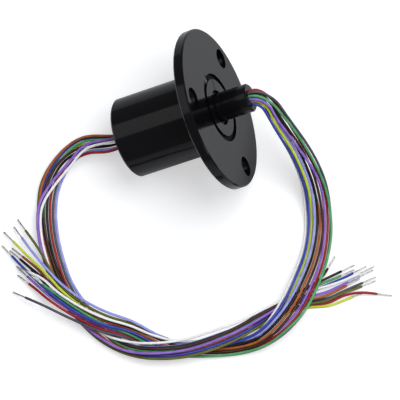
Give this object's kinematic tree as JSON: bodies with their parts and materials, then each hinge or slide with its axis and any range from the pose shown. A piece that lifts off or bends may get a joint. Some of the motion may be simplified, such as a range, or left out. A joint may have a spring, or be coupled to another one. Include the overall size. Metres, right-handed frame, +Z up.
{
  "type": "slip_ring",
  "caption": "Capsule slip ring with a round mounting flange, a turning hollow shaft and a bundle of thin coloured leads from each end, lying on a table",
  "frame": {"origin": "on the table, under the middle of the flange, barrel and shaft taken together without the leads", "axes": "+Z up; +X toward the shaft end, so the barrel axis leans up from X by the rest angle; +Y along the table, away from the lead loops"},
  "size_m": [0.1004, 0.0854, 0.0416],
  "materials": {
    "housing_plastic": "black moulded plastic, semi-gloss",
    "cover_plastic": "black moulded plastic, satin",
    "key_metal": "grey metal",
    "shaft_plastic": "black, satin",
    "spring_steel": "blackened spring steel",
    "bearing_steel": "ground bearing steel",
    "ball_steel": "polished balls",
    "cage_brass": "pressed brass",
    "gold_plate": "gold-plated rings",
    "insulator": "moulded insulator",
    "insulator_dark": "moulded sleeve",
    "board": "green circuit board",
    "gold_wire": "gold alloy spring wire",
    "solder": "solder",
    "epoxy": "dark epoxy",
    "tinned_copper": "tinned copper strands",
    "lead_white": "satin insulation",
    "lead_violet": "satin insulation",
    "lead_orange": "satin insulation",
    "lead_brown": "satin insulation",
    "lead_olive": "satin insulation",
    "lead_blue": "satin insulation",
    "lead_green": "satin insulation",
    "lead_black": "satin insulation",
    "lead_yellow": "satin insulation",
    "lead_red": "satin insulation",
    "lead_slate": "satin insulation",
    "lead_periwinkle": "satin insulation"
  },
  "bodies": {
    "housing": {"housing": "housing_plastic", "front_cover": "cover_plastic", "cover_key": "key_metal", "bearing_outer_races": "bearing_steel", "brush_board": "board", "brush_wires": "gold_wire", "brush_bases": "solder", "rear_fill": "epoxy", "stator_lead_tips": "tinned_copper", "rotor_lead_tips": "tinned_copper", "stator_lead_white": "lead_white", "stator_lead_violet": "lead_violet", "stator_lead_orange": "lead_orange", "stator_lead_brown": "lead_brown", "stator_lead_olive": "lead_olive", "stator_lead_blue": "lead_blue", "stator_lead_green": "lead_green", "stator_lead_black": "lead_black", "stator_lead_yellow": "lead_yellow", "stator_lead_red": "lead_red", "stator_lead_slate": "lead_slate", "stator_lead_periwinkle": "lead_periwinkle", "rotor_lead_white": "lead_white", "rotor_lead_violet": "lead_violet", "rotor_lead_orange": "lead_orange", "rotor_lead_brown": "lead_brown", "rotor_lead_olive": "lead_olive", "rotor_lead_blue": "lead_blue", "rotor_lead_green": "lead_green", "rotor_lead_black": "lead_black", "rotor_lead_yellow": "lead_yellow", "rotor_lead_red": "lead_red", "rotor_lead_slate": "lead_slate", "rotor_lead_periwinkle": "lead_periwinkle"},
    "rotor": {"rotor_shaft": "shaft_plastic", "snap_ring": "spring_steel", "bearing_inner_races": "bearing_steel", "contact_rings": "gold_plate", "ring_spacers": "insulator", "stack_sleeve": "insulator_dark", "rotor_fill": "epoxy"},
    "cages": {"bearing_balls": "ball_steel", "ball_cages": "cage_brass"}
  },
  "joints": [
    {"name": "rotor_spin", "type": "hinge", "parent": "housing", "child": "rotor", "pos_m": [0.0074, 0, 0.02029], "axis": [0.9119, 0, 0.4104], "continuous": true},
    {"name": "cage_spin", "type": "hinge", "parent": "housing", "child": "cages", "pos_m": [0.0074, 0, 0.02029], "axis": [0.9119, 0, 0.4104], "continuous": true}
  ],
  "couplings": [
    {"joint": "cage_spin", "follows": "rotor_spin", "ratio": 0.43}
  ]
}
